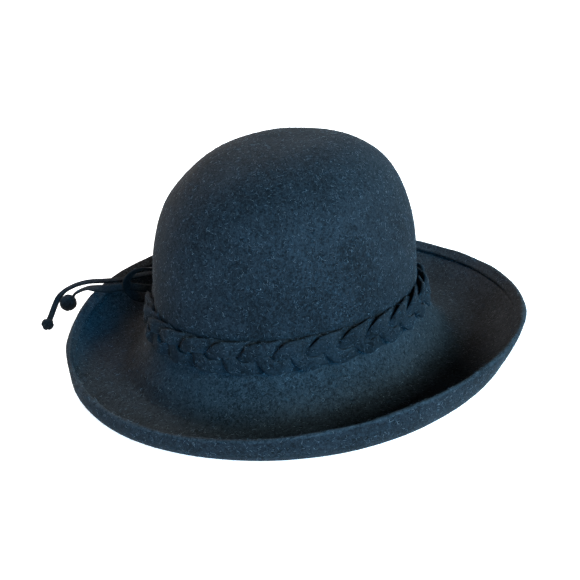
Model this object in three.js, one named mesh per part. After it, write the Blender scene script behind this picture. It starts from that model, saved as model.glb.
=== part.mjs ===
// A wide-brim felt hat with a round open crown, a folded welt at the rim and a three-strand felt plait tied
// with a small bow on the wearer's left side.
// Millimetres, +Z up, +X to the front and +Y to the wearer's left. The hat lies on Z = 0, below the middle of
// its rim's outline.
import * as THREE from 'three';

// Crown and brim
const headLength = 202; // outside of the crown's base, front to back
const headWidth = 171.2;
const crownTop = 153.7; // above the surface that the hat lies on
const crownSetBack = 4.8; // crown's middle behind the middle of the rim
const crownSetLeft = 2.3;
const crownLeanBack = 1.9; // how far the top drifts from the middle of the base
const crownLeanRight = 1.0;
const crownTaper = 0.04; // share of the radius lost on the way up
const crownSquareness = { across: 2.76, up: 3.28 }; // 2 would be an ellipse, more is a fuller shoulder
const brimLength = 338.1;
const brimWidth = 320.1;
const rimHeight = 25.5;
const flareTop = 29.3; // where the wall turns out into the brim
const flareStep = 1.5; // how far the wall has moved out by then
const flareRun = 20.5; // how far out it goes on its way down
const flareStart = 0.8; // share of its way down that it runs straight
const frontSag = { depth: 5, lean: 10, azimuth: 350, halfTurn: 40 }; // plait and flare are lower at the front
const valleyFlat = 8; // width of the flat that the hat rests on
const feltThickness = 2.2;
const weltWidth = 7.2;
const weltThickness = 1.7; // the edge that is folded over, on top of the felt
const weltShares = [0.35, 0.7, 1]; // places across the welt, from its inner edge to the rim
const weltRise = 0.02; // share of the welt's width over which its inner edge steps up
const rimEdge = (feltThickness + weltThickness) / 2; // radius of the rounded edge
const rimEdgeAngles = [45, 90, 135];

// Hollow left by a thumb in the crown's left shoulder at the back
const dent = { depth: 1.6, azimuth: 138, height: 0.86, halfTurn: 34, halfHeight: 0.13 };

// Plait
const braidHeight = 38.9; // middle of the plait above the surface
const braidWidth = 20.6;
const braidPeriods = 10; // times that each strand crosses over and back on the way round
const braidStart = 0.1; // share of a period from the front to the first strand's first crossing
const braidDrift = 0.1; // share of a period by which it is drawn out unevenly, most where driftShare says
const driftShare = 0.63; // share of the way round
const braidLean = 6; // degrees, as it lies on the flare
const braidGap = 0.7; // between the plait and the wall
const braidDepth = 7;
const strandWidth = 8;
const strandThickness = 2.6;
const strandCount = 3;
const strandLift = 0.514 * (braidDepth - strandThickness); // how far it moves out and in at a crossing
const strandSway = { first: 1.16, third: 0.195 }; // its swing up and down, in a wave and a third of one
const strandBank = { first: 0.1, third: 0.153 }; // how far its face turns with each, in radians

// Bow
const bowShare = 0.308; // share of the way round the plait, from the front towards the left
const bowStrip = 8; // width of the strip
const bowClearance = 0.4; // between the bow's pieces
const wrapClearance = 1; // round the plait, whose strands bend away under it
const wrapWidth = 14;
const wrapThickness = 2.2;
const wrapCorner = 2.5;
const loopReach = 31;
const loopRise = 18.5;
const loopTurn = 32; // degrees that the loop turns from straight out towards the back
const loopRoute = [
  { out: 0.02, up: 0.14 },
  { out: 0.4, up: 0.42 },
  { out: 0.75, up: 0.46 },
  { out: 0.98, up: 0.2 },
  { out: 0.98, up: -0.2 },
  { out: 0.75, up: -0.5 },
  { out: 0.4, up: -0.42 },
  { out: 0.02, up: -0.14 },
]; // shares of its reach and of its rise
const tailDiameter = 3.6;
const longKnotDiameter = 8.4;
const shortKnotDiameter = 11.6;

// The brim's sections, evenly spaced in degrees from the front towards the left. rimLift and valleyLift are
// shares of rimHeight, valleyAt is a share of the way from the crown to the rim, and rimSlope is the lip's angle
// above level. lipRise and lipRun say how far the lip runs straight, as shares of its height and of its reach
// past the valley.
const brimSections = [
  { azimuth: 0, rimLift: 0.868, rimSlope: 42, lipRise: 0.6, lipRun: 0.55, valleyAt: 0.44, valleyLift: 0 },
  { azimuth: 30, rimLift: 0.887, rimSlope: 38, lipRise: 0.6, lipRun: 0.55, valleyAt: 0.45, valleyLift: 0 },
  { azimuth: 60, rimLift: 1.047, rimSlope: 36, lipRise: 0.6, lipRun: 0.5, valleyAt: 0.45, valleyLift: 0 },
  { azimuth: 90, rimLift: 1.16, rimSlope: 32, lipRise: 0.6, lipRun: 0.5, valleyAt: 0.45, valleyLift: 0 },
  { azimuth: 120, rimLift: 1.075, rimSlope: 26, lipRise: 0.6, lipRun: 0.5, valleyAt: 0.46, valleyLift: 0.03 },
  { azimuth: 150, rimLift: 0.82, rimSlope: 76, lipRise: 0.85, lipRun: 0.85, valleyAt: 0.46, valleyLift: 0.02 },
  { azimuth: 180, rimLift: 0.694, rimSlope: 100, lipRise: 0.9, lipRun: 0.95, valleyAt: 0.48, valleyLift: 0 },
  { azimuth: 210, rimLift: 0.76, rimSlope: 90, lipRise: 0.87, lipRun: 0.85, valleyAt: 0.5, valleyLift: 0 },
  { azimuth: 240, rimLift: 1.009, rimSlope: 92, lipRise: 0.85, lipRun: 0.82, valleyAt: 0.5, valleyLift: 0 },
  { azimuth: 270, rimLift: 1.212, rimSlope: 84, lipRise: 0.78, lipRun: 0.7, valleyAt: 0.46, valleyLift: 0 },
  { azimuth: 300, rimLift: 1.212, rimSlope: 68, lipRise: 0.65, lipRun: 0.55, valleyAt: 0.45, valleyLift: 0 },
  { azimuth: 330, rimLift: 1.028, rimSlope: 52, lipRise: 0.6, lipRun: 0.55, valleyAt: 0.44, valleyLift: 0 },
];

// Where the two loose ends run, from the bow over the rim and down to their knots
const longRoute = [
  [-37, 97, 38.5], [-45, 108, 37.5], [-57, 117.5, 36.5], [-66.5, 125, 34.6], [-74.9, 139.1, 32],
  [-79.6, 149.4, 30.2], [-83.7, 156.6, 28.2], [-87.9, 162.5, 25.7], [-92.5, 167.9, 22.2], [-96.1, 170.4, 19.2],
  [-100.1, 170.5, 16.2], [-106.3, 166.4, 12.7], [-111.4, 162.4, 9.7], [-116.5, 158, 7.6],
];
const shortRoute = [
  [-47.9, 94.8, 30.5], [-53.4, 94.6, 31], [-62.2, 101.8, 32.6], [-71, 110, 34.4], [-77.3, 116.6, 33.7],
  [-81.8, 122.6, 32.5], [-85.3, 133, 31], [-86.7, 142.8, 29], [-88.8, 150.5, 25.7], [-91.6, 156.1, 22.2],
  [-93.4, 158.6, 18.7],
];

// Mesh steps
const azimuthSteps = 56;
const crownSteps = 10;
const slopeSteps = 4;
const stepsPerPeriod = 12;
const pathSteps = 16;
const ovalSteps = 720; // to measure the plait's oval

const radians = THREE.MathUtils.degToRad;
const blackFelt = { color: 0x1c2630, roughness: 0.95, metalness: 0 };
const strandFelt = { color: 0x1e2935, roughness: 0.93, metalness: 0 };
const bowFelt = { color: 0x161d26, roughness: 0.93, metalness: 0 };

// A closed solid through rings of points. Two end points close it, and without them the last ring joins the
// first.
function loft(rings, startPoint, endPoint) {
  const count = rings[0].length;
  const corners = rings.flat();
  const triangles = [];
  const lastRing = startPoint ? rings.length - 1 : rings.length;
  for (let ring = 0; ring < lastRing; ring += 1) {
    const here = ring * count;
    const next = ((ring + 1) % rings.length) * count;
    for (let side = 0; side < count; side += 1) {
      const other = (side + 1) % count;
      triangles.push(here + side, next + side, next + other);
      triangles.push(here + side, next + other, here + other);
    }
  }
  if (startPoint) {
    const start = corners.push(startPoint) - 1;
    const end = corners.push(endPoint) - 1;
    const last = (rings.length - 1) * count;
    for (let side = 0; side < count; side += 1) {
      const other = (side + 1) % count;
      triangles.push(start, side, other);
      triangles.push(end, last + other, last + side);
    }
  }
  const geometry = new THREE.BufferGeometry();
  geometry.setAttribute('position', new THREE.Float32BufferAttribute(corners.flatMap((p) => p.toArray()), 3));
  geometry.setIndex(triangles);
  geometry.computeVertexNormals();
  return geometry;
}

// A column of the brim's table at any azimuth, as a smooth closed curve through its rows
function around(column, azimuth) {
  const count = brimSections.length;
  const place = azimuth / brimSections[1].azimuth;
  const row = Math.floor(place);
  const [a, b, c, d] = [-1, 0, 1, 2].map((step) => brimSections[(row + step + count) % count][column]);
  const t = place - row;
  return b + 0.5 * t * (c - a + t * (2 * a - 5 * b + 4 * c - d + t * (3 * (b - c) + d - a)));
}

// The crown's outside radius at its base
function crownRadius(azimuth) {
  const along = Math.cos(radians(azimuth)) / (headLength / 2);
  const across = Math.sin(radians(azimuth)) / (headWidth / 2);
  return 1 / Math.hypot(along, across);
}

// From the crown's middle to the rim's outline
function rimRadius(azimuth) {
  const [a, b] = [brimLength / 2, brimWidth / 2];
  const [x, y] = [Math.cos(radians(azimuth)) / a, Math.sin(radians(azimuth)) / b];
  const [fromX, fromY] = [-crownSetBack / a, crownSetLeft / b];
  const square = x * x + y * y;
  const half = x * fromX + y * fromY;
  return (Math.sqrt(half * half - square * (fromX * fromX + fromY * fromY - 1)) - half) / square;
}

// The share of the front's sag that this azimuth has
function sagShare(azimuth) {
  const turn = THREE.MathUtils.euclideanModulo(azimuth - frontSag.azimuth + 180, 360) - 180;
  return Math.exp(-((turn / frontSag.halfTurn) ** 2));
}

// How deep the thumb's hollow is at one place on the crown
function dentDepth(azimuth, height) {
  const turn = (azimuth - dent.azimuth) / dent.halfTurn;
  const rise = (height - dent.height) / dent.halfHeight;
  return dent.depth * Math.exp(-turn * turn - rise * rise);
}

// The felt's outer and upper line at one azimuth, from the top of the crown to the rim: radius, height
function upperLine(azimuth) {
  const base = crownRadius(azimuth);
  const reach = rimRadius(azimuth) - base;
  const dome = crownTop - braidHeight;
  const line = [];
  for (let step = 1; step <= crownSteps; step += 1) {
    const turn = (step / crownSteps) * (Math.PI / 2);
    const height = Math.cos(turn) ** (2 / crownSquareness.up);
    const round = (1 - height ** crownSquareness.up) ** (1 / crownSquareness.across);
    const share = round * (1 - crownTaper * height);
    const sunk = dentDepth(azimuth, height) * Math.SQRT1_2;
    line.push(new THREE.Vector2(base * share - sunk, braidHeight + dome * height - sunk));
  }
  const wallFoot = new THREE.Vector2(base + flareStep, flareTop - frontSag.depth * sagShare(azimuth));
  line.push(wallFoot);
  const low = feltThickness + rimHeight * Math.max(0, around('valleyLift', azimuth));
  const valley = base + reach * around('valleyAt', azimuth);
  const drop = wallFoot.y - low;
  const flare = new THREE.CubicBezierCurve(
    wallFoot,
    new THREE.Vector2(wallFoot.x + flareStart * flareRun, wallFoot.y - flareStart * drop),
    new THREE.Vector2(wallFoot.x + flareRun, low),
    new THREE.Vector2(valley - valleyFlat / 2, low),
  );
  for (let step = 1; step <= slopeSteps; step += 1) {
    line.push(flare.getPointAt(step / slopeSteps));
  }
  const slopeUp = radians(around('rimSlope', azimuth));
  const direction = new THREE.Vector2(Math.cos(slopeUp), Math.sin(slopeUp));
  const normal = new THREE.Vector2(-direction.y, direction.x);
  const rim = new THREE.Vector2(base + reach - rimEdge, rimHeight * around('rimLift', azimuth) - rimEdge);
  rim.addScaledVector(normal, rimEdge - weltThickness);
  const lift = rim.y - low;
  const start = new THREE.Vector2(valley + valleyFlat / 2, low);
  const rise = new THREE.CubicBezierCurve(
    start,
    new THREE.Vector2(start.x + around('lipRun', azimuth) * (rim.x - start.x), low),
    rim.clone().addScaledVector(direction, -around('lipRise', azimuth) * lift),
    rim,
  );
  const weltAt = 1 - weltWidth / rise.getLength();
  for (let step = 0; step <= slopeSteps; step += 1) {
    line.push(rise.getPointAt((step / slopeSteps) * weltAt));
  }
  return { line, rise, weltAt };
}

// The line moved sideways through the felt, away from the outer and upper side
function offsetLine(line, distance) {
  return line.map((point, index) => {
    const before = line[Math.max(index - 1, 0)];
    const after = line[Math.min(index + 1, line.length - 1)];
    const along = index === 0 ? new THREE.Vector2(1, 0) : after.clone().sub(before).normalize();
    return new THREE.Vector2(point.x + along.y * distance, point.y - along.x * distance);
  });
}

function feltBody() {
  const sections = [];
  for (let step = 0; step < azimuthSteps; step += 1) {
    const azimuth = (step / azimuthSteps) * 360;
    const { line, rise, weltAt } = upperLine(azimuth);
    const welt = weltShares.map((share) => rise.getPointAt(weltAt + (1 - weltAt) * share));
    const normalAt = (share) => {
      const along = rise.getTangentAt(share);
      return new THREE.Vector2(-along.y, along.x);
    };
    const raised = [];
    for (const share of [weltRise, ...weltShares]) {
      const at = weltAt + (1 - weltAt) * share;
      raised.push(rise.getPointAt(at).addScaledVector(normalAt(at), weltThickness));
    }
    const rim = rise.getPointAt(1);
    const along = rise.getTangentAt(1);
    const normal = normalAt(1);
    const middle = rim.clone().addScaledVector(normal, weltThickness - rimEdge);
    const turned = rimEdgeAngles.map((angle) => {
      const point = middle.clone().addScaledVector(normal, rimEdge * Math.cos(radians(angle)));
      return point.addScaledVector(along, rimEdge * Math.sin(radians(angle)));
    });
    const under = offsetLine([...line, ...welt], feltThickness).reverse();
    sections.push({ azimuth, points: [...line, ...raised, ...turned, ...under] });
  }
  const rings = [];
  for (let row = 0; row < sections[0].points.length; row += 1) {
    rings.push(sections.map(({ azimuth, points }) => {
      const { x: radius, y: height } = points[row];
      const middle = crownMiddle(Math.max(0, (height - braidHeight) / (crownTop - braidHeight)));
      const turn = radians(azimuth);
      return new THREE.Vector3(middle.x + radius * Math.cos(turn), middle.y + radius * Math.sin(turn), height);
    }));
  }
  const top = crownMiddle(1);
  const outer = new THREE.Vector3(top.x, top.y, crownTop);
  const inner = new THREE.Vector3(top.x, top.y, crownTop - feltThickness);
  return loft(rings, outer, inner);
}

// The crown's middle at a share of its height above the plait
function crownMiddle(share) {
  const drift = share * share;
  return new THREE.Vector2(crownLeanBack * drift - crownSetBack, crownSetLeft - crownLeanRight * drift);
}

// Where the plait runs: the oval round the crown at half the plait's thickness from the wall
const braidOffset = braidDepth / 2 + braidGap;
const braidOval = new THREE.EllipseCurve(0, 0, headLength / 2 + braidOffset, headWidth / 2 + braidOffset);
braidOval.arcLengthDivisions = ovalSteps;

// A point of the plait: share of the way round, distance out from its middle, distance up
function onBraid(share, out, up) {
  const point = braidOval.getPointAt(share);
  const along = braidOval.getTangentAt(share);
  const sagged = sagShare(THREE.MathUtils.radToDeg(Math.atan2(point.y, point.x)));
  const lean = radians(braidLean + frontSag.lean * sagged);
  const clear = (braidWidth / 2) * (Math.sin(lean) - Math.sin(radians(braidLean)));
  const sideways = clear + out * Math.cos(lean) - up * Math.sin(lean);
  const height = braidHeight - frontSag.depth * sagged + up * Math.cos(lean) + out * Math.sin(lean);
  return new THREE.Vector3(
    point.x - crownSetBack + along.y * sideways,
    point.y + crownSetLeft - along.x * sideways,
    height,
  );
}

// One flat strand, which moves out to cross over the next and in to pass under it, and banks as it turns
function braidStrand(number) {
  const steps = braidPeriods * stepsPerPeriod;
  const period = braidOval.getLength() / braidPeriods;
  const swing = (braidWidth - strandWidth) / 2;
  const section = [[1, -0.6], [1, 0.6], [0, 1], [-1, 0.6], [-1, -0.6], [0, -1]];
  const rings = [];
  for (let step = 0; step < steps; step += 1) {
    const drift = braidDrift * Math.sin(2 * Math.PI * (step / steps - driftShare));
    const share = THREE.MathUtils.euclideanModulo(step / steps + (braidStart + drift) / braidPeriods, 1);
    const phase = -2 * Math.PI * (step / stepsPerPeriod + number / strandCount);
    const up = swing * (strandSway.first * Math.sin(phase) + strandSway.third * Math.sin(3 * phase));
    const turned = strandSway.first * Math.cos(phase) + 3 * strandSway.third * Math.cos(3 * phase);
    const climb = (swing * turned * 2 * Math.PI) / period;
    const out = -strandLift * Math.sin(2 * phase);
    const bank = -strandBank.first * Math.cos(phase) - strandBank.third * Math.cos(3 * phase);
    rings.push(section.map(([thick, wide]) => {
      const across = wide * (strandWidth / 2) * Math.hypot(1, climb);
      const deep = thick * (strandThickness / 2);
      return onBraid(
        share,
        out + across * Math.sin(bank) + deep * Math.cos(bank),
        up + across * Math.cos(bank) - deep * Math.sin(bank),
      );
    }));
  }
  return loft(rings);
}

function feltMesh(name, geometry, felt) {
  const mesh = new THREE.Mesh(geometry, new THREE.MeshStandardMaterial(felt));
  mesh.name = name;
  return mesh;
}

// The strip over the plait, open towards the wall
function bowWrap() {
  const [deep, high] = [braidDepth / 2 + wrapClearance, braidWidth / 2 + wrapClearance];
  const [cornerX, cornerY] = [deep - wrapCorner, high - wrapCorner];
  const outerCorner = wrapCorner + wrapThickness;
  const shape = new THREE.Shape();
  shape.moveTo(0, high + wrapThickness);
  shape.absarc(cornerX, cornerY, outerCorner, Math.PI / 2, 0, true);
  shape.absarc(cornerX, -cornerY, outerCorner, 0, -Math.PI / 2, true);
  shape.lineTo(0, -high - wrapThickness);
  shape.lineTo(0, -high);
  shape.absarc(cornerX, -cornerY, wrapCorner, -Math.PI / 2, 0, false);
  shape.absarc(cornerX, cornerY, wrapCorner, 0, Math.PI / 2, false);
  shape.lineTo(0, high);
  return new THREE.ExtrudeGeometry(shape, { depth: wrapWidth, bevelEnabled: false, curveSegments: 4 });
}

// The bow's loop: a strip that leaves the wrap, turns round and comes back under itself
function bowLoop() {
  const path = new THREE.CatmullRomCurve3(
    loopRoute.map(({ out, up }) => new THREE.Vector3(out * loopReach, 0, up * loopRise)),
  );
  const rings = [];
  for (let step = 0; step <= pathSteps; step += 1) {
    const centre = path.getPointAt(step / pathSteps);
    const along = path.getTangentAt(step / pathSteps);
    const normal = new THREE.Vector3(-along.z, 0, along.x);
    rings.push([[1, 1], [1, -1], [-1, -1], [-1, 1]].map(([across, over]) => centre.clone()
      .addScaledVector(normal, over * feltThickness / 2)
      .add(new THREE.Vector3(0, across * bowStrip / 2, 0))));
  }
  return loft(rings, path.getPointAt(0), path.getPointAt(1));
}

// A loose end: a round cord along its route
function tail(route) {
  const path = new THREE.CatmullRomCurve3(route.map((point) => new THREE.Vector3(...point)));
  const section = new THREE.Shape();
  section.absarc(0, 0, tailDiameter / 2, 0, 2 * Math.PI);
  const options = { steps: 2 * pathSteps, bevelEnabled: false, curveSegments: 4, extrudePath: path };
  return new THREE.ExtrudeGeometry(section, options);
}

// The overhand knot at the end of a route
function endKnot(route, diameter) {
  const last = new THREE.Vector3(...route[route.length - 1]);
  const along = last.clone().sub(new THREE.Vector3(...route[route.length - 2])).normalize();
  const knot = new THREE.SphereGeometry(diameter / 2, 12, 8);
  knot.translate(...last.addScaledVector(along, diameter / 2 + bowClearance).toArray());
  return knot;
}

const hat = new THREE.Group();
hat.add(feltMesh('felt_body', feltBody(), blackFelt));
for (let number = 0; number < strandCount; number += 1) {
  hat.add(feltMesh(`braid_strand_${number + 1}`, braidStrand(number), strandFelt));
}

// The bow's pieces share one group, whose +X points straight out from the wall at the plait's height
const bow = new THREE.Group();
bow.position.copy(onBraid(bowShare, 0, 0));
const bowNormal = onBraid(bowShare, 1, 0).sub(bow.position);
bow.rotation.z = Math.atan2(bowNormal.y, bowNormal.x);
const wrap = feltMesh('bow_wrap', bowWrap(), bowFelt);
wrap.rotation.set(Math.PI / 2, 0, radians(braidLean));
wrap.position.y = wrapWidth / 2;
bow.add(wrap);
const loop = feltMesh('bow_loop', bowLoop(), bowFelt);
const loopBack = (bowStrip / 2) * Math.sin(radians(loopTurn)); // how far its turned end reaches back
loop.position.x = braidDepth / 2 + wrapClearance + wrapThickness + bowClearance + loopBack;
loop.rotation.z = radians(loopTurn);
bow.add(loop);
hat.add(bow);

hat.add(feltMesh('tail_long', tail(longRoute), bowFelt));
hat.add(feltMesh('tail_short', tail(shortRoute), bowFelt));
hat.add(feltMesh('tail_long_knot', endKnot(longRoute, longKnotDiameter), bowFelt));
hat.add(feltMesh('tail_short_knot', endKnot(shortRoute, shortKnotDiameter), bowFelt));

export default hat;
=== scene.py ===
import bpy
import math
import numpy as np
from mathutils import Matrix, Vector


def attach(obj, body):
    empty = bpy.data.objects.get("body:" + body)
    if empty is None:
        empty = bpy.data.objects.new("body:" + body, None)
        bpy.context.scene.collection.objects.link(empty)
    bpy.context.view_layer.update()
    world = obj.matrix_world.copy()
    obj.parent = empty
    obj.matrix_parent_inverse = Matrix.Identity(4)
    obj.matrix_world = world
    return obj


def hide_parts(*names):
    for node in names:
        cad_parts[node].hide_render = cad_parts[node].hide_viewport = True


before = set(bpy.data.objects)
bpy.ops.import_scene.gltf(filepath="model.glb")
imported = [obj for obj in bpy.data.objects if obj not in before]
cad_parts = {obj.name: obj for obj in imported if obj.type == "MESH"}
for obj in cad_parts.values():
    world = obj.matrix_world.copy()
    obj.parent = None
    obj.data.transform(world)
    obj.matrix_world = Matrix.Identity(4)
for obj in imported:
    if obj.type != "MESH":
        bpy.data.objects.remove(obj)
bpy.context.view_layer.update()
mm = 0.001  # sizes below are in millimetres, and every mesh is made in metres
print("frame loaded")

# Camera

cameraView = {
    "place": (-0.40123, -0.43537, 0.31229),
    "forward": (0.61111, 0.67222, -0.41793),
    "up": (0.31942, 0.27366, 0.90724),
    "lens": 55.74,
    "sensor": 36,
}


def makeCamera(view):
    forward = Vector(view["forward"]).normalized()
    side = forward.cross(Vector(view["up"])).normalized()
    up = side.cross(forward)
    camera = bpy.data.cameras.new("camera")
    camera.lens = view["lens"]
    camera.sensor_width = view["sensor"]
    camera.clip_start = 0.01
    rig = bpy.data.objects.new("camera", camera)
    turn = Matrix((side, up, -forward)).transposed().to_4x4()
    rig.matrix_world = Matrix.Translation(Vector(view["place"])) @ turn
    bpy.context.collection.objects.link(rig)
    bpy.context.scene.camera = rig


makeCamera(cameraView)
print("camera set")

# Small helpers


def linearColour(hexColour):  # sRGB hex to linear
    shares = [int(hexColour[at:at + 2], 16) / 255 for at in (1, 3, 5)]
    return tuple(s / 12.92 if s <= 0.04045 else ((s + 0.055) / 1.055) ** 2.4 for s in shares) + (1.0,)


def addNode(tree, kind, settings=None, links=None):  # one node, its settings, and what feeds it
    node = tree.nodes.new(kind)
    for name, value in (settings or {}).items():
        if isinstance(name, int) or name in node.inputs.keys():
            node.inputs[name].default_value = value
        else:
            setattr(node, name, value)
    for name, source in (links or {}).items():
        tree.links.new(source, node.inputs[name])
    return node


def unit(vectors):
    return vectors / np.maximum(np.linalg.norm(vectors, axis=-1, keepdims=True), 1e-12)


def distances(line):  # from a line's start to each of its points
    return np.concatenate([[0], np.cumsum(np.linalg.norm(np.diff(line, axis=0), axis=1))])


def curveBetween(a, b, c, d, t):  # from b to c, on a smooth line through all four
    return b + 0.5 * t * (c - a + t * (2 * a - 5 * b + 4 * c - d + t * (3 * (b - c) + d - a)))


def squared(wave, squareness):  # a sine or cosine with flatter crests, where 2 leaves it as it is
    return np.sign(wave) * np.abs(wave) ** (2 / squareness)


def lumps(points, size, seed):  # smooth noise near -1 to 1, in lumps of about this size
    chance = np.random.default_rng(seed)
    total = np.zeros(points.shape[:-1])
    for wave in range(14):
        direction = unit(chance.normal(size=3))
        total += np.sin(points @ direction * (2 * np.pi / size) * chance.uniform(0.6, 1.4)
                        + chance.uniform(0, 2 * np.pi))
    return total / 4


def gridFaces(rows, columns, closedRows=False):  # quads between rings of points
    faces = []
    for row in range(rows if closedRows else rows - 1):
        here = row * columns
        there = ((row + 1) % rows) * columns
        for column in range(columns):
            beside = (column + 1) % columns
            faces.append((here + column, there + column, there + beside, here + beside))
    return faces


def capFaces(rows, columns):  # a fan over the first and last ring, round two middles added at the end
    start = rows * columns
    last = (rows - 1) * columns
    faces = []
    for column in range(columns):
        beside = (column + 1) % columns
        faces.append((start, column, beside))
        faces.append((start + 1, last + beside, last + column))
    return faces


def makePiece(name, points, faces, material, slot, *nodes):  # a mesh in metres from points in millimetres
    mesh = bpy.data.meshes.new(name)
    mesh.from_pydata((np.asarray(points) * mm).tolist(), [], faces)
    mesh.polygons.foreach_set("use_smooth", [True] * len(mesh.polygons))
    mesh.materials.append(material)
    mesh.update()
    piece = bpy.data.objects.new(name, mesh)
    bpy.context.collection.objects.link(piece)
    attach(piece, "root")
    if nodes:
        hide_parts(*nodes)
    return piece


def loftPiece(name, rings, material, slot, *nodes, closed=False):  # rings: array of rings x points x 3
    count, around = rings.shape[:2]
    points = rings.reshape(-1, 3)
    faces = gridFaces(count, around, closed)
    if not closed:
        points = np.vstack([points, rings[0].mean(axis=0), rings[-1].mean(axis=0)])
        faces += capFaces(count, around)
    return makePiece(name, points, faces, material, slot, *nodes)


def smoothRoute(route, steps):  # even steps along a smooth line through the points
    route = np.array(route, float)
    padded = np.vstack([2 * route[0] - route[1], route, 2 * route[-1] - route[-2]])
    betweenPoints = 24
    fine = []
    for at in range(len(route) - 1):
        for t in np.linspace(0, 1, betweenPoints, endpoint=False):
            fine.append(curveBetween(*padded[at:at + 4], t))
    fine = np.array(fine + [route[-1]])
    travel = distances(fine)
    places = np.linspace(0, travel[-1], steps + 1)
    return np.stack([np.interp(places, travel, fine[:, axis]) for axis in range(3)], axis=1), travel[-1]


# Materials

# Pale dust and painted light from above: the felt is made paler where it faces up, more on the low brim than
# on the high crown, and less in the low fold that the hat rests on, which is painted shade for the lip's
# shadow. Heights are in millimetres.
dustAndTopLight = {
    "leastAbove": 50, "mostBelow": 30, "shadedBelow": 4, "fullAbove": 12, "shadedShare": 0.4,
    "steep": 0.1, "level": 0.8, "patchLow": 0.3, "patchHigh": 1.6,
}


def newMaterial(name):
    material = bpy.data.materials.new(name)
    material.use_nodes = True
    material.node_tree.nodes.clear()
    return material, material.node_tree


def multiply(tree, first, second):
    return addNode(tree, "ShaderNodeMath", {"operation": "MULTIPLY"}, {0: first, 1: second}).outputs[0]


def feltMaterial(name, look):
    material, tree = newMaterial(name)
    place = addNode(tree, "ShaderNodeTexCoord").outputs["Object"]
    cloud = addNode(tree, "ShaderNodeTexNoise", {
        "Scale": 1 / (look["cloudSize"] * mm), "Detail": 3.0, "Roughness": 0.55}, {"Vector": place})
    tufts = addNode(tree, "ShaderNodeTexNoise", {
        "Scale": 1 / (look["tuftSize"] * mm), "Detail": 5.0, "Roughness": 0.7, "Distortion": 1.2},
        {"Vector": place})
    hairs = addNode(tree, "ShaderNodeTexNoise", {
        "Scale": 1 / (look["hairSize"] * mm), "Detail": 2.0, "Roughness": 0.6, "Distortion": 2.5},
        {"Vector": place})
    lift = addNode(tree, "ShaderNodeMath", {"operation": "MULTIPLY_ADD", 1: look["cloudShare"]},
                   {0: cloud.outputs["Fac"], 2: tufts.outputs["Fac"]})
    shade = addNode(tree, "ShaderNodeMapRange", {
        "From Min": 0.5 * look["cloudShare"] + look["contrast"][0],
        "From Max": 0.5 * look["cloudShare"] + look["contrast"][1]},
        {"Value": lift.outputs[0]})
    wool = addNode(tree, "ShaderNodeMix", {
        "data_type": "RGBA", 6: linearColour(look["deep"]), 7: linearColour(look["pale"])},
        {0: shade.outputs[0]})
    facing = addNode(tree, "ShaderNodeSeparateXYZ", {},
                     {"Vector": addNode(tree, "ShaderNodeNewGeometry").outputs["Normal"]})
    height = addNode(tree, "ShaderNodeSeparateXYZ", {}, {"Vector": place})
    # Real dust and painted light from above: paler where the felt faces up, most on the low brim
    dustAndLightByHeight = addNode(tree, "ShaderNodeMapRange", {
        "From Min": dustAndTopLight["leastAbove"] * mm, "From Max": dustAndTopLight["mostBelow"] * mm,
        "To Min": look["dustAndLightShare"], "To Max": look["brimDustAndLight"]},
        {"Value": height.outputs["Z"]})
    # Painted shade: less of the paling in the low fold, where the lip's shadow falls
    foldShade = addNode(tree, "ShaderNodeMapRange", {
        "From Min": dustAndTopLight["shadedBelow"] * mm, "From Max": dustAndTopLight["fullAbove"] * mm,
        "To Min": dustAndTopLight["shadedShare"]},
        {"Value": height.outputs["Z"]})
    dustAndLightLeft = multiply(tree, dustAndLightByHeight.outputs[0], foldShade.outputs[0])
    upFacingDustAndLight = addNode(tree, "ShaderNodeMapRange", {"From Min": dustAndTopLight["steep"], "From Max": dustAndTopLight["level"]},
                      {"Value": facing.outputs["Z"], "To Max": dustAndLightLeft})
    patchy = addNode(tree, "ShaderNodeMapRange", {"To Min": dustAndTopLight["patchLow"], "To Max": dustAndTopLight["patchHigh"]},
                     {"Value": shade.outputs[0]})
    dustAndLightAmount = multiply(tree, upFacingDustAndLight.outputs[0], patchy.outputs[0])
    dustedAndLitColour = addNode(tree, "ShaderNodeMix", {"data_type": "RGBA", 7: linearColour(look["dustAndTopLight"])},
                    {0: dustAndLightAmount, 6: wool.outputs[2]})
    cells = addNode(tree, "ShaderNodeTexVoronoi", {"Scale": 1 / (look["speckSpacing"] * mm)},
                    {"Vector": place})
    speckEdge = look["speckSize"] / look["speckSpacing"]
    near = addNode(tree, "ShaderNodeMapRange", {
        "From Min": speckEdge, "From Max": look["speckCore"] * speckEdge},
        {"Value": cells.outputs["Distance"]})
    chance = addNode(tree, "ShaderNodeSeparateColor", {}, {"Color": cells.outputs["Color"]})
    chosen = addNode(tree, "ShaderNodeMath", {"operation": "GREATER_THAN", 1: 1 - look["speckShare"]},
                     {0: chance.outputs["Red"]})
    strength = multiply(tree, chosen.outputs[0], chance.outputs["Green"])
    speck = multiply(tree, near.outputs[0], strength)
    colour = addNode(tree, "ShaderNodeMix", {"data_type": "RGBA", 7: linearColour(look["speck"])},
                     {0: speck, 6: dustedAndLitColour.outputs[2]})
    coarse = addNode(tree, "ShaderNodeBump", {
        "Strength": look["tuftBump"], "Distance": look["tuftSize"] * look["tuftDepth"] * mm},
        {"Height": tufts.outputs["Fac"]})
    fine = addNode(tree, "ShaderNodeBump", {
        "Strength": look["hairBump"], "Distance": look["hairSize"] * look["hairDepth"] * mm},
        {"Height": hairs.outputs["Fac"], "Normal": coarse.outputs[0]})
    shader = addNode(tree, "ShaderNodeBsdfPrincipled", {
        "Roughness": look["roughness"], "IOR": 1.5, "Specular IOR Level": look["specular"],
        "Sheen Weight": look["sheen"], "Sheen Roughness": look["sheenRoughness"],
        "Sheen Tint": linearColour(look["sheenTint"])},
        {"Base Color": colour.outputs[2], "Normal": fine.outputs[0]})
    addNode(tree, "ShaderNodeOutputMaterial", {}, {"Surface": shader.outputs[0]})
    return material


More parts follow.
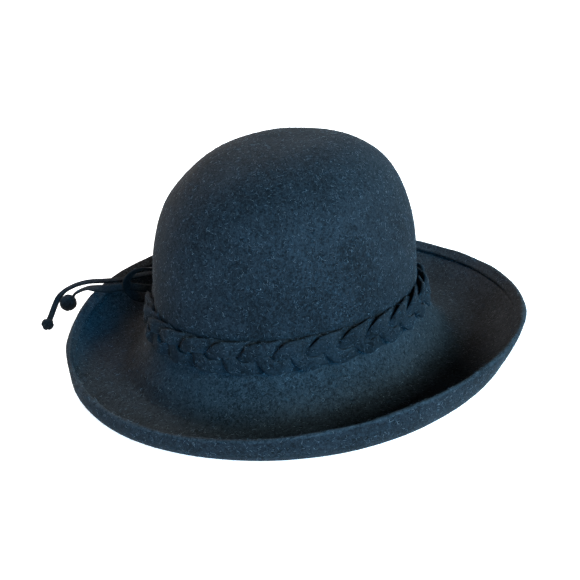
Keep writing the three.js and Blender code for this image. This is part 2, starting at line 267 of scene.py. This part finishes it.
# Wool felt, blocked over a round form with steam: matt, blue-black, with a raised nap and pale lint in it.
# Its real hairs are 0.03 mm thick, too fine for the picture, so tufts and hairs are drawn as coarser clumps.
# Sizes and spacings are in millimetres, depths are shares of their sizes.
pressedFelt = {
    "deep": "#050607", "pale": "#1f2327", "speck": "#8a8e91", "sheenTint": "#c8d4de",
    # The dust colour and its shares also paint light from above on faces that look up, and painted shade in
    # the low fold
    "dustAndTopLight": "#3a3d40", "dustAndLightShare": 0.08, "brimDustAndLight": 0.45, "contrast": (0.4, 0.61),
    "cloudSize": 30, "cloudShare": 0.2, "tuftSize": 1.7, "hairSize": 1.0,
    "speckSpacing": 7.5, "speckSize": 0.34, "speckCore": 0.3, "speckShare": 0.5,
    "tuftBump": 0.6, "tuftDepth": 0.35, "hairBump": 0.5, "hairDepth": 0.5,
    "roughness": 0.95, "specular": 0.1, "sheen": 0.02, "sheenRoughness": 0.5,
}
# Soft felt, cut in strips and plaited: smoother than the hat, flattened where the strips press on each other
stripFelt = dict(pressedFelt, deep="#060708", pale="#1d2125", dustAndLightShare=0.1, brimDustAndLight=0.15,
                 cloudSize=16, hairSize=0.9, speckShare=0.2, tuftBump=0.5)
# The same felt in the bow, handled more: a little darker and flatter, with more dust and painted light from
# above on its upward faces than the strips
bowFelt = dict(stripFelt, deep="#030405", pale="#0f1214", dustAndLightShare=0.3, brimDustAndLight=0.3,
               speckShare=0.1, tuftBump=0.4)

feltBodyMaterial = feltMaterial("blocked_wool_felt", pressedFelt)
stripMaterial = feltMaterial("plaited_felt_strips", stripFelt)
bowMaterial = feltMaterial("tied_felt_strips", bowFelt)
print("materials made")

# Hat body, with the same sizes as the CAD

hatBody = {
    "headLength": 202, "headWidth": 171.2, "crownTop": 153.7,
    "setBack": 4.8, "setLeft": 2.3, "leanBack": 1.9, "leanRight": 1.0,
    "taper": 0.04, "squareAcross": 2.76, "squareUp": 3.28,
    "brimLength": 338.1, "brimWidth": 320.1, "rimHeight": 25.5,
    "flareTop": 29.3, "flareStep": 1.5, "flareRun": 20.5, "flareStart": 0.8, "valleyFlat": 8,
    "sagDepth": 5, "sagLean": 10, "sagAzimuth": 350, "sagTurn": 40,
    "thickness": 2.2, "weltWidth": 7.2, "weltThickness": 1.7, "plaitHeight": 38.9,
    "dentDepth": 1.6, "dentAzimuth": 138, "dentHeight": 0.86, "dentTurn": 34, "dentRise": 0.13,
    "columns": 336, "domeRows": 56, "wallRows": 2, "flareRows": 20, "lipRows": 22, "edgeRows": 9,
    "underRows": 7,
    "handSize": 46, "handDepth": 0.35, "handSeed": 3,  # hollows and bulges left by shaping it by hand
    "surfaceSize": 9, "surfaceDepth": 0.07, "surfaceSeed": 5,
    "flatBelow": 3, "shapedAbove": 11,  # the ring that it rests on stays flat
}
brimColumns = ("rimLift", "rimSlope", "lipRise", "lipRun", "valleyAt", "valleyLift")
brimSections = [  # every 30 degrees from the front towards the left, as in the CAD
    (0.868, 42, 0.6, 0.55, 0.44, 0), (0.887, 38, 0.6, 0.55, 0.45, 0), (1.047, 36, 0.6, 0.5, 0.45, 0),
    (1.16, 32, 0.6, 0.5, 0.45, 0), (1.075, 26, 0.6, 0.5, 0.46, 0.03), (0.82, 76, 0.85, 0.85, 0.46, 0.02),
    (0.694, 100, 0.9, 0.95, 0.48, 0), (0.76, 90, 0.87, 0.85, 0.5, 0), (1.009, 92, 0.85, 0.82, 0.5, 0),
    (1.212, 84, 0.78, 0.7, 0.46, 0), (1.212, 68, 0.65, 0.55, 0.45, 0), (1.028, 52, 0.6, 0.55, 0.44, 0),
]
# The folded edge from its inner side to the rim: share of its width, height as a share of its thickness.
# Beside its inner side the felt dips into a groove.
weltLead = 0.42  # how far before the fold the groove's rows begin, as a share of its width
weltProfile = [
    (-0.34, 0), (-0.24, -0.03), (-0.16, -0.14), (-0.09, -0.4), (-0.04, -0.6), (0, -0.62), (0.012, 0),
    (0.03, 0.5), (0.07, 0.84), (0.13, 1.04), (0.22, 1.15), (0.33, 1.14), (0.46, 1.06), (0.62, 0.99),
    (0.8, 0.99), (1, 1),
]


def brimAt(column, azimuth):  # a column of the brim's table at any azimuth
    values = [row[brimColumns.index(column)] for row in brimSections]
    place = azimuth / (360 / len(values))
    row = math.floor(place)
    around = [values[(row + step) % len(values)] for step in (-1, 0, 1, 2)]
    return curveBetween(*around, place - row)


def crownRadius(azimuth):
    turn = math.radians(azimuth)
    a, b = hatBody["headLength"] / 2, hatBody["headWidth"] / 2
    return 1 / math.hypot(math.cos(turn) / a, math.sin(turn) / b)


def rimRadius(azimuth):  # from the crown's middle to the rim's outline
    a, b = hatBody["brimLength"] / 2, hatBody["brimWidth"] / 2
    turn = math.radians(azimuth)
    x, y = math.cos(turn) / a, math.sin(turn) / b
    fromX, fromY = -hatBody["setBack"] / a, hatBody["setLeft"] / b
    square = x * x + y * y
    half = x * fromX + y * fromY
    return (math.sqrt(half * half - square * (fromX ** 2 + fromY ** 2 - 1)) - half) / square


def bezierLine(a, b, c, d, steps=160):  # a fine cubic curve and the distance along it
    t = np.linspace(0, 1, steps + 1)[:, None]
    line = (1 - t) ** 3 * a + 3 * (1 - t) ** 2 * t * b + 3 * (1 - t) * t ** 2 * c + t ** 3 * d
    return line, distances(line)


def alongLine(line, travel, places):
    return np.stack([np.interp(places, travel, line[:, axis]) for axis in (0, 1)], axis=1)


def lineNormals(line):  # to the outer and upper side
    along = unit(np.gradient(line, axis=0))
    return np.stack([-along[:, 1], along[:, 0]], axis=1)


def sagShare(azimuth):  # the plait and the flare are lower at the front
    turn = np.mod(azimuth - hatBody["sagAzimuth"] + 180, 360) - 180
    return np.exp(-(turn / hatBody["sagTurn"]) ** 2)


def hatSection(azimuth):  # radius and height of the upper line, the rim's edge and the under line
    h = hatBody
    base = crownRadius(azimuth)
    reach = rimRadius(azimuth) - base
    dome = h["crownTop"] - h["plaitHeight"]
    turn = np.linspace(0, np.pi / 2, h["domeRows"] + 1)[1:]
    rise = np.cos(turn) ** (2 / h["squareUp"])
    rise[-1] = 0
    share = (1 - rise ** h["squareUp"]) ** (1 / h["squareAcross"]) * (1 - h["taper"] * rise)
    dent = h["dentDepth"] * np.exp(-((azimuth - h["dentAzimuth"]) / h["dentTurn"]) ** 2
                                   - ((rise - h["dentHeight"]) / h["dentRise"]) ** 2)
    dent = dent * math.sqrt(0.5)  # pressed in at 45 degrees
    crown = np.stack([base * share - dent, h["plaitHeight"] + dome * rise - dent], axis=1)
    foot = np.array([base + h["flareStep"], h["flareTop"] - h["sagDepth"] * sagShare(azimuth)])
    wall = np.linspace(crown[-1], foot, h["wallRows"] + 2)[1:-1]
    low = h["thickness"] + h["rimHeight"] * max(0, brimAt("valleyLift", azimuth))
    valley = base + reach * brimAt("valleyAt", azimuth)
    drop = foot[1] - low
    flare, flareTravel = bezierLine(
        foot, foot + h["flareStart"] * np.array([h["flareRun"], -drop]),
        np.array([foot[0] + h["flareRun"], low]), np.array([valley - h["valleyFlat"] / 2, low]))
    up = math.radians(brimAt("rimSlope", azimuth))
    along = np.array([math.cos(up), math.sin(up)])
    across = np.array([-along[1], along[0]])
    edge = (h["thickness"] + h["weltThickness"]) / 2
    rim = np.array([base + reach - edge, h["rimHeight"] * brimAt("rimLift", azimuth) - edge])
    rim = rim + across * (edge - h["weltThickness"])
    start = np.array([valley + h["valleyFlat"] / 2, low])
    lip, lipTravel = bezierLine(
        start, np.array([start[0] + brimAt("lipRun", azimuth) * (rim[0] - start[0]), low]),
        rim - along * brimAt("lipRise", azimuth) * (rim[1] - low), rim)
    weltStart = lipTravel[-1] - h["weltWidth"]
    flareRows = alongLine(flare, flareTravel, np.linspace(0, flareTravel[-1], h["flareRows"] + 1))
    lipEnd = weltStart - weltLead * h["weltWidth"]
    lipRows = alongLine(lip, lipTravel, np.linspace(0, lipEnd, h["lipRows"] + 1))
    bare = np.vstack([crown, wall, flareRows, lipRows])
    weltPlaces = weltStart + h["weltWidth"] * np.array([row[0] for row in weltProfile])
    weltBase = alongLine(lip, lipTravel, weltPlaces)
    normals = lineNormals(lip)
    weltNormals = unit(alongLine(normals, lipTravel, weltPlaces))
    heights = h["weltThickness"] * np.array([row[1] for row in weltProfile])
    welt = weltBase + weltNormals * heights[:, None]
    middle = rim + weltNormals[-1] * (h["weltThickness"] - edge)
    turns = np.linspace(0, np.pi, h["edgeRows"] + 2)[1:-1, None]
    rounded = middle + edge * (np.cos(turns) * weltNormals[-1] + np.sin(turns) * along)
    covered = alongLine(lip, lipTravel, np.linspace(weltStart, lipTravel[-1], h["underRows"]))
    whole = np.vstack([bare, covered])
    under = (whole - lineNormals(whole) * h["thickness"])[::-1]
    return np.vstack([bare, welt, rounded, under])


def makeHatBody():
    h = hatBody
    azimuths = np.arange(h["columns"]) * 360 / h["columns"]
    sections = np.stack([hatSection(azimuth) for azimuth in azimuths], axis=1)  # rows x columns x 2
    share = np.clip((sections[..., 1] - h["plaitHeight"]) / (h["crownTop"] - h["plaitHeight"]), 0, 1) ** 2
    turn = np.radians(azimuths)[None, :]
    points = np.stack([
        h["leanBack"] * share - h["setBack"] + sections[..., 0] * np.cos(turn),
        h["setLeft"] - h["leanRight"] * share + sections[..., 0] * np.sin(turn),
        sections[..., 1]], axis=2)
    across = np.roll(points, -1, axis=1) - np.roll(points, 1, axis=1)
    down = np.gradient(points, axis=0)
    outward = unit(np.cross(down, across))
    settle = np.clip((points[..., 2:] - h["flatBelow"]) / (h["shapedAbove"] - h["flatBelow"]), 0, 1)
    shaped = (h["handDepth"] * lumps(points, h["handSize"], h["handSeed"])
              + h["surfaceDepth"] * lumps(points, h["surfaceSize"], h["surfaceSeed"]))
    points = points + outward * shaped[..., None] * settle
    top = (h["leanBack"] - h["setBack"], h["setLeft"] - h["leanRight"])
    rows, columns = points.shape[:2]
    ends = [(*top, h["crownTop"]), (*top, h["crownTop"] - h["thickness"])]
    faces = gridFaces(rows, columns) + capFaces(rows, columns)
    everything = np.vstack([points.reshape(-1, 3), ends])
    return makePiece("hat_body", everything, faces, feltBodyMaterial, "pressed_felt", "felt_body")


hatPiece = makeHatBody()
print("hat body made,", len(hatPiece.data.polygons), "faces")

# Plait

plait = {
    "height": 38.9, "width": 20.6, "depth": 7, "gap": 0.7, "lean": 6,
    "periods": 10, "start": 0.1, "drift": 0.1, "driftShare": 0.63,
    "stripWidth": 9.5, "stripThickness": 3.3, "lift": 2.4,
    "swayFirst": 1.16, "swayThird": 0.195, "bankFirst": 0.12, "bankThird": 0.22,
    "swing": 6.3, "strips": 3, "stepsPerPeriod": 48, "sectionPoints": 20, "squareness": 2.5,
    "unevenness": 0.05, "unevenSize": 19, "unevenShift": 40.0, "unevenSeed": 11, "ovalSteps": 2880,
}


def plaitLine():  # the oval that the plait follows, and the distance along it
    offset = plait["depth"] / 2 + plait["gap"]
    turn = np.linspace(0, 2 * np.pi, plait["ovalSteps"] + 1)
    line = np.stack([(hatBody["headLength"] / 2 + offset) * np.cos(turn),
                     (hatBody["headWidth"] / 2 + offset) * np.sin(turn)], axis=1)
    return line, distances(line)


ovalLine, ovalTravel = plaitLine()


def onPlait(share, out, up):  # share of the way round, distance out from the plait's middle, distance up
    place = np.mod(share, 1) * ovalTravel[-1]
    point = alongLine(ovalLine, ovalTravel, place)
    ahead = alongLine(ovalLine, ovalTravel, np.mod(place + 0.5, ovalTravel[-1]))
    along = unit(ahead - point)
    sagged = sagShare(np.degrees(np.arctan2(point[:, 1], point[:, 0])))
    lean = np.radians(plait["lean"] + hatBody["sagLean"] * sagged)
    clear = plait["width"] / 2 * (np.sin(lean) - math.sin(math.radians(plait["lean"])))
    sideways = clear + out * np.cos(lean) - up * np.sin(lean)
    return np.stack([
        point[:, 0] - hatBody["setBack"] + along[:, 1] * sideways,
        point[:, 1] + hatBody["setLeft"] - along[:, 0] * sideways,
        plait["height"] - hatBody["sagDepth"] * sagged + up * np.cos(lean) + out * np.sin(lean)], axis=1)


def makeStrip(number):  # one strip of the plait, over one neighbour and under the other
    p = plait
    steps = p["periods"] * p["stepsPerPeriod"]
    step = np.arange(steps)
    drift = p["drift"] * np.sin(2 * np.pi * (step / steps - p["driftShare"]))
    share = step / steps + (p["start"] + drift) / p["periods"]
    phase = -2 * np.pi * (step / p["stepsPerPeriod"] + number / p["strips"])
    up = p["swing"] * (p["swayFirst"] * np.sin(phase) + p["swayThird"] * np.sin(3 * phase))
    climb = p["swing"] * (p["swayFirst"] * np.cos(phase) + 3 * p["swayThird"] * np.cos(3 * phase))
    climb = climb * 2 * np.pi * p["periods"] / ovalTravel[-1]
    out = -p["lift"] * np.sin(2 * phase)
    bank = -p["bankFirst"] * np.cos(phase) - p["bankThird"] * np.cos(3 * phase)
    onOval = alongLine(ovalLine, ovalTravel, np.mod(share, 1) * ovalTravel[-1])
    apart = np.full(steps, p["unevenShift"] * number)  # so that no strip is uneven where another is
    uneven = lumps(np.c_[onOval, apart], p["unevenSize"], p["unevenSeed"] + number)
    half = p["stripWidth"] / 2 * (1 + p["unevenness"] * uneven)
    turn = np.linspace(0, 2 * np.pi, p["sectionPoints"], endpoint=False)
    wide = squared(np.sin(turn), p["squareness"])
    thick = squared(np.cos(turn), p["squareness"])
    rings = []
    for w, t in zip(wide, thick):
        across = w * half * np.hypot(1, climb)
        deep = t * p["stripThickness"] / 2
        rings.append(onPlait(share, out + across * np.sin(bank) + deep * np.cos(bank),
                             up + across * np.cos(bank) - deep * np.sin(bank)))
    rings = np.stack(rings, axis=1)
    node = f"braid_strand_{number + 1}"
    return loftPiece(f"plait_strip_{number + 1}", rings, stripMaterial, "band_felt", node, closed=True)


strips = [makeStrip(number) for number in range(plait["strips"])]
print("plait made")

# Bow: a wrap over the plait, a loop, and two loose ends with knots

bow = {
    "share": 0.308, "strip": 8, "clearance": 0.4, "steps": 72,
    "wrapClearance": 1, "wrapWidth": 14, "wrapThickness": 2.2, "wrapCorner": 3.6, "cornerSteps": 5,
    "wrapPoints": 28, "wrapSquareness": 4, "creaseDepth": 0.35, "creaseSpacing": 4.6, "creaseInside": 0.2,
    "loopReach": 31, "loopRise": 18.5, "loopTurn": 32, "loopTwist": 40, "loopHang": 10,
}
loopRoute = [  # shares of its reach and of its rise
    (0.02, 0.14), (0.4, 0.42), (0.75, 0.46), (1.0, 0.12),
    (1.0, -0.34), (0.75, -0.76), (0.4, -0.68), (0.02, -0.2),
]
# Each crease of a knot has an axis, and a place, depth and width as shares of the ball's radius. A twist
# is given as pairs of a share of the length and degrees.
longTail = {
    "route": [
        (-37, 97, 38.5), (-45, 108, 37.5), (-57, 117.5, 36.5), (-66.5, 125, 34.6), (-74.9, 139.1, 32),
        (-79.6, 149.4, 30.2), (-83.7, 156.6, 28.2), (-87.9, 162.5, 25.7), (-92.5, 167.9, 22.2),
        (-96.1, 170.4, 19.2), (-100.1, 170.5, 16.2), (-106.3, 166.4, 12.7), (-111.4, 162.4, 9.7),
        (-116.5, 158, 7.6)],
    "width": 4.6, "thickness": 2.1, "knot": 9.4, "twist": [(0, 30), (0.5, 20), (1, 30)],
    "creases": [((1, 0.3, 0.6), 0.15, 0.12, 0.13), ((0.2, 1, -0.5), -0.1, 0.12, 0.12)],
}
shortTail = {
    "route": [
        (-47.9, 94.8, 30.5), (-53.4, 94.6, 31), (-62.2, 101.8, 32.6), (-71, 110, 34.4),
        (-77.3, 116.6, 33.7), (-81.8, 122.6, 32.5), (-85.3, 133, 31), (-86.7, 142.8, 29),
        (-88.8, 150.5, 25.7), (-91.6, 156.1, 22.2), (-93.4, 158.6, 18.7)],
    "width": 6.2, "thickness": 2.2, "knot": 13.4, "twist": [(0, 60), (0.55, 60), (0.75, 10), (1, 0)],
    "creases": [((1, 0.2, 0.8), 0.3, 0.07, 0.1), ((-0.3, 1, 0.4), -0.35, 0.07, 0.1)],
}


def stripSection(width, thickness, count=16, squareness=3.0):  # across, over
    turn = np.linspace(0, 2 * np.pi, count, endpoint=False)
    across = squared(np.cos(turn), squareness) * width / 2
    over = squared(np.sin(turn), squareness) * thickness / 2
    return np.stack([across, over], axis=1)


def bowFrame():  # the bow's place, and its directions out from the wall and along the plait
    middle = onPlait(np.array([bow["share"]]), np.zeros(1), np.zeros(1))[0]
    out = unit(onPlait(np.array([bow["share"]]), np.ones(1), np.zeros(1))[0] - middle)
    out = unit(np.array([out[0], out[1], 0]))
    return middle, out, np.array([-out[1], out[0], 0])


bowMiddle, bowOut, bowAlong = bowFrame()
upward = np.array([0, 0, 1.0])


def onBow(out, along, up):  # a point from its distances out from the wall, along the plait and up
    return bowMiddle + out[:, None] * bowOut + along[:, None] * bowAlong + up[:, None] * upward


def uprightNormals(line):  # at right angles to a line that stays in one upright plane
    along = unit(np.gradient(line, axis=0))
    return np.stack([-along[:, 2], np.zeros(len(along)), along[:, 0]], axis=1)


def makeWrap():
    b = bow
    lean = math.radians(plait["lean"])
    deep = plait["depth"] / 2 + b["wrapClearance"] + b["wrapThickness"] / 2
    high = plait["width"] / 2 + b["wrapClearance"] + b["wrapThickness"] / 2
    corner = b["wrapCorner"]
    upper = [(deep - corner + corner * math.cos(turn), high - corner + corner * math.sin(turn))
             for turn in np.linspace(np.pi / 2, 0, b["cornerSteps"])]
    lower = [(out, -up) for out, up in reversed(upper)]
    route = [(0, high), *upper, (deep, 0), *lower, (0, -high)]
    route = [(out * math.cos(lean) - up * math.sin(lean), 0, up * math.cos(lean) + out * math.sin(lean))
             for out, up in route]
    line = smoothRoute(route, b["steps"])[0]
    outward = uprightNormals(line)
    outward *= np.sign((outward * line).sum(axis=1))[:, None]
    section = stripSection(b["wrapWidth"], b["wrapThickness"], b["wrapPoints"], b["wrapSquareness"])
    rings = []
    for across, over in section:
        crease = b["creaseDepth"] * math.cos(across * 2 * math.pi / b["creaseSpacing"])
        local = line + outward * (over + crease * (1 if over > 0 else b["creaseInside"]))
        rings.append(onBow(local[:, 0], local[:, 1] + across, local[:, 2]))
    return loftPiece("bow_knot", np.stack(rings, axis=1), bowMaterial, "bow_felt", "bow_wrap")


def makeLoop():
    b = bow
    turn = math.radians(b["loopTurn"])
    back = b["strip"] / 2 * math.sin(turn)
    shift = plait["depth"] / 2 + b["wrapClearance"] + b["wrapThickness"] + b["clearance"] + back
    route = [(out * b["loopReach"], 0, up * b["loopRise"]) for out, up in loopRoute]
    line = smoothRoute(route, b["steps"])[0]
    normal = uprightNormals(line)
    shares = np.linspace(0, 1, len(line))[:, None]
    twist = np.radians(b["loopTwist"]) * np.sin(np.pi * shares)
    hang = b["loopHang"] * np.sin(np.pi * shares)  # it swings towards the back
    level = np.array([0, 1.0, 0])
    wide = level * np.cos(twist) + normal * np.sin(twist)
    flat = normal * np.cos(twist) - level * np.sin(twist)
    rings = []
    for across, over in stripSection(b["strip"], hatBody["thickness"]):
        local = line + flat * over + wide * across + level * hang
        x = local[:, 0] * math.cos(turn) - local[:, 1] * math.sin(turn) + shift
        y = local[:, 0] * math.sin(turn) + local[:, 1] * math.cos(turn)
        rings.append(onBow(x, y, local[:, 2]))
    return loftPiece("bow_ear", np.stack(rings, axis=1)[:, ::-1], bowMaterial, "bow_felt", "bow_loop")


def makeTail(name, tail, node):
    line, length = smoothRoute(tail["route"], bow["steps"])
    along = unit(np.gradient(line, axis=0))
    level = unit(np.cross(along, upward))
    over = np.cross(level, along)
    shares = np.linspace(0, 1, len(line))
    twist = np.radians(np.interp(shares, *zip(*tail["twist"])))[:, None]
    wide = level * np.cos(twist) + over * np.sin(twist)
    flat = np.cross(wide, along)
    rings = [line + wide * a + flat * o for a, o in stripSection(tail["width"], tail["thickness"])]
    piece = loftPiece(name, np.stack(rings, axis=1), bowMaterial, "bow_felt", node)
    return piece, line, length


knotLook = {"rows": 46, "columns": 84, "roughness": 0.02, "lumpScale": 6, "lumpSize": 5, "seed": 31}


def makeKnot(name, tail, node):  # an overhand knot pulled tight: a ball with the creases of its turns
    route = np.array(tail["route"], float)
    along = unit(route[-1] - route[-2])
    middle = route[-1] + along * (tail["knot"] / 2 + bow["clearance"])
    side = unit(np.cross(along, upward))
    over = np.cross(side, along)
    down = np.linspace(0, np.pi, knotLook["rows"])[1:-1, None]
    turn = np.linspace(0, 2 * np.pi, knotLook["columns"], endpoint=False)[None, :]
    ball = np.stack([
        np.sin(down) * np.cos(turn), np.sin(down) * np.sin(turn), -np.cos(down) * np.ones_like(turn)], axis=2)
    radius = np.ones(ball.shape[:2])
    for axis, shift, depth, width in tail["creases"]:
        radius -= depth * np.exp(-((ball @ unit(np.array(axis, float)) - shift) / width) ** 2)
    rough = lumps(ball * knotLook["lumpScale"], knotLook["lumpSize"], knotLook["seed"])
    radius += knotLook["roughness"] * rough
    local = ball * radius[..., None] * tail["knot"] / 2
    points = middle + local[..., :1] * side + local[..., 1:2] * over + local[..., 2:] * along
    return loftPiece(name, points, bowMaterial, "bow_felt", node)


makeWrap()
makeLoop()
for name, tail, node in (("long_end", longTail, "tail_long"), ("short_end", shortTail, "tail_short")):
    piece, line, length = makeTail(name, tail, node)
    knot = makeKnot(name + "_knot", tail, node + "_knot")
    print(name, "is", round(length, 1), "mm long")
print("bow made")

# Loose wool: the nap that stands off the felt, and curls of paler lint. Real fibres are 0.03 mm thick, and
# these are drawn coarser, as a few that cling together.

fibreLooks = {
    "nap": {"thickness": 0.2, "length": (1.0, 2.8), "lift": 0.25, "curl": 0.7, "segments": 3, "taper": 0.6,
            "settles": 0},
    "lint": {"thickness": 0.12, "length": (0.8, 2.8), "lift": 0.14, "curl": 0.6, "segments": 4, "taper": 0.3,
             "settles": 1},
    "curl": {"thickness": 0.13, "length": (3.5, 8), "lift": 0.1, "curl": 0.7, "segments": 9, "taper": 0.3,
             "settles": 1},
}
fibreGrowth = {
    "rimRadius": 150, "rimBase": 14, "onTop": 2.5, "onRim": 2,  # lint settles on what faces up and on the rim
    "bareBelow": 1.8,  # nothing grows under the ring that it rests on
    "sunk": 0.1, "liftLow": 0.2, "liftHigh": 1.6, "liftLeft": 0.6, "curlChange": 0.3, "sides": 3,
}
fibreColours = {"nap": "#545a60", "lint": "#72777b"}
fibreSets = [  # name, look, slot, pieces that they grow on, number, seed
    ("hat_nap_outer", "nap", "pressed_felt", [hatPiece], 9200, 41),
    ("hat_nap_second", "nap", "pressed_felt", [hatPiece], 7600, 42),
    ("hat_lint", "lint", "pressed_felt", [hatPiece], 4200, 43),
    ("hat_lint_curls", "curl", "pressed_felt", [hatPiece], 340, 46),
    ("plait_nap", "nap", "band_felt", strips, 4200, 44),
    ("plait_lint", "lint", "band_felt", strips, 220, 45),
]


def fibreMaterial(name, colour):
    material, tree = newMaterial(name)
    shader = addNode(tree, "ShaderNodeBsdfPrincipled", {
        "Base Color": linearColour(colour), "Roughness": 0.8, "Specular IOR Level": 0.2})
    addNode(tree, "ShaderNodeOutputMaterial", {}, {"Surface": shader.outputs[0]})
    return material


# Wool fibres raised by brushing: thin, matt and a little paler than the felt, so that its edge looks soft
napMaterial = fibreMaterial("raised_wool_nap", fibreColours["nap"])
# Stray undyed fibres that cling to the felt: pale, so that they show as specks and short curls
lintMaterial = fibreMaterial("clinging_wool_lint", fibreColours["lint"])


def readMesh(items, name, width=1, kind=float):  # one value of each item, as an array
    values = np.zeros(len(items) * width, kind)
    items.foreach_get(name, values)
    return values.reshape(-1, width) if width > 1 else values


def fibreRoots(pieces, count, chance, settles):  # places in millimetres and normals, over the pieces' faces
    g = fibreGrowth
    corners, normals, areas = [], [], []
    for piece in pieces:
        mesh = piece.data
        places = readMesh(mesh.vertices, "co", 3) / mm
        loops = readMesh(mesh.loops, "vertex_index", kind=int)
        starts = readMesh(mesh.polygons, "loop_start", kind=int)
        totals = readMesh(mesh.polygons, "loop_total", kind=int)
        picks = [loops[starts + np.minimum(corner, totals - 1)] for corner in range(4)]
        corners.append(np.stack([places[pick] for pick in picks], axis=1))
        normals.append(readMesh(mesh.polygons, "normal", 3))
        areas.append(readMesh(mesh.polygons, "area"))
    corners, normals, areas = np.vstack(corners), np.vstack(normals), np.concatenate(areas)
    first = corners[:, 0]
    crest = (np.hypot(first[:, 0], first[:, 1]) > g["rimRadius"]) & (first[:, 2] > g["rimBase"])
    share = areas * (1 + settles * (g["onTop"] * np.maximum(normals[:, 2], 0) + g["onRim"] * crest))
    share[corners[:, :, 2].min(axis=1) < g["bareBelow"]] = 0
    picked = chance.choice(len(areas), count, p=share / share.sum())
    across, along = chance.random((2, count, 1))
    a, b, c, d = np.moveaxis(corners[picked], 1, 0)
    near, far = (1 - across) * a + across * b, (1 - across) * d + across * c
    return (1 - along) * near + along * far, normals[picked]


def fibreFaces(count, segments, sides):  # for each fibre a tube of flat sides, closed at both ends
    tube = []
    for step in range(segments):
        for corner in range(sides):
            here, beside = sides * step + corner, sides * step + (corner + 1) % sides
            tube.append((here, beside, beside + sides, here + sides))
    last = sides * segments
    faces = []
    for first in range(0, count * (last + sides), last + sides):
        faces.extend(tuple(first + corner for corner in side) for side in tube)
        faces.append(tuple(first + corner for corner in reversed(range(sides))))
        faces.append(tuple(first + last + corner for corner in range(sides)))
    return faces


def makeFibres(name, kind, slot, pieces, count, seed):
    chance = np.random.default_rng(seed)
    fibre, g = fibreLooks[kind], fibreGrowth
    place, normal = fibreRoots(pieces, count, chance, fibre["settles"])
    loose = unit(chance.normal(size=(count, 3)))
    heading = unit(loose - normal * (loose * normal).sum(axis=1, keepdims=True))
    length = chance.uniform(*fibre["length"], (count, 1))
    turn = chance.normal(0, fibre["curl"], (count, 1))
    lift = fibre["lift"] * chance.uniform(g["liftLow"], g["liftHigh"], (count, 1))
    place = place - normal * g["sunk"]
    rings = []
    for step in range(fibre["segments"] + 1):
        side = unit(np.cross(normal, heading))
        radius = fibre["thickness"] / 2 * (1 - fibre["taper"] * step / fibre["segments"])
        for corner in range(g["sides"]):
            angle = 2 * np.pi * corner / g["sides"]
            rings.append(place + radius * (math.cos(angle) * normal + math.sin(angle) * side))
        place = place + (heading + normal * lift) * length / fibre["segments"]
        heading = unit(heading * np.cos(turn) + side * np.sin(turn))
        lift = lift * g["liftLeft"]
        turn = turn + chance.normal(0, g["curlChange"] * fibre["curl"], (count, 1))
    points = np.stack(rings, axis=1).reshape(-1, 3)
    faces = fibreFaces(count, fibre["segments"], g["sides"])
    return makePiece(name, points, faces, napMaterial if kind == "nap" else lintMaterial, slot)


for fibreSet in fibreSets:
    makeFibres(*fibreSet)
print("fibres made")

# Floor and light

studio = {  # in metres and watts
    "floorSize": 6.0, "wallHeight": 1.2, "sides": 96,
    "floorColour": "#f6f6f5", "floorGlow": 1.0, "wallGlow": 0.35,
    "world": (0.9, 0.95, 1.0), "worldStrength": 0.01, "aim": (0, 0, 0.05),
    "key": {"place": (0.171, -1.622, 0.811), "size": 0.6, "power": 42, "colour": (0.62, 0.91, 1.0)},
    "low": {"place": (-0.664, -1.644, 0.363), "size": 0.9, "power": 74, "colour": (0.05, 0.5, 1.0)},
    "back": {"place": (0.367, 1.37, 1.158), "size": 0.9, "power": 31, "colour": (1.0, 0.9, 0.87)},
}


def makeStage(name, corners, faces, glow):  # a pale surface that gives light
    mesh = bpy.data.meshes.new(name)
    mesh.from_pydata(corners, [], faces)
    material, tree = newMaterial("pale_" + name)
    shader = addNode(tree, "ShaderNodeBsdfPrincipled", {
        "Base Color": linearColour(studio["floorColour"]), "Roughness": 0.9, "Specular IOR Level": 0.1,
        "Emission Color": linearColour(studio["floorColour"]), "Emission Strength": glow})
    addNode(tree, "ShaderNodeOutputMaterial", {}, {"Surface": shader.outputs[0]})
    mesh.materials.append(material)
    surface = bpy.data.objects.new(name, mesh)
    bpy.context.collection.objects.link(surface)


def makeStudio():
    half, sides = studio["floorSize"] / 2, studio["sides"]
    turns = [2 * math.pi * step / sides for step in range(sides)]
    low, high = ([(half * math.cos(turn), half * math.sin(turn), height) for turn in turns]
                 for height in (0, studio["wallHeight"]))
    makeStage("studio_floor", low, [tuple(range(sides))], studio["floorGlow"])
    wall = [(step, (step + 1) % sides, sides + (step + 1) % sides, sides + step) for step in range(sides)]
    makeStage("studio_wall", low + high, wall, studio["wallGlow"])
    world = bpy.data.worlds.new("studio")
    bpy.context.scene.world = world
    world.use_nodes = True
    world.node_tree.nodes.clear()
    back = addNode(world.node_tree, "ShaderNodeBackground", {
        "Color": (*studio["world"], 1.0), "Strength": studio["worldStrength"]})
    addNode(world.node_tree, "ShaderNodeOutputWorld", {}, {"Surface": back.outputs[0]})
    for name in ("key", "low", "back"):
        lamp = studio[name]
        light = bpy.data.lights.new(name + "_light", "AREA")
        light.shape = "DISK"
        light.size = lamp["size"]
        light.energy = lamp["power"]
        light.color = lamp["colour"]
        rig = bpy.data.objects.new(name + "_light", light)
        rig.location = Vector(lamp["place"])
        rig.rotation_euler = (rig.location - Vector(studio["aim"])).to_track_quat("Z", "Y").to_euler()
        bpy.context.collection.objects.link(rig)


makeStudio()
bpy.context.scene.view_settings.view_transform = "Standard"
print("studio made")
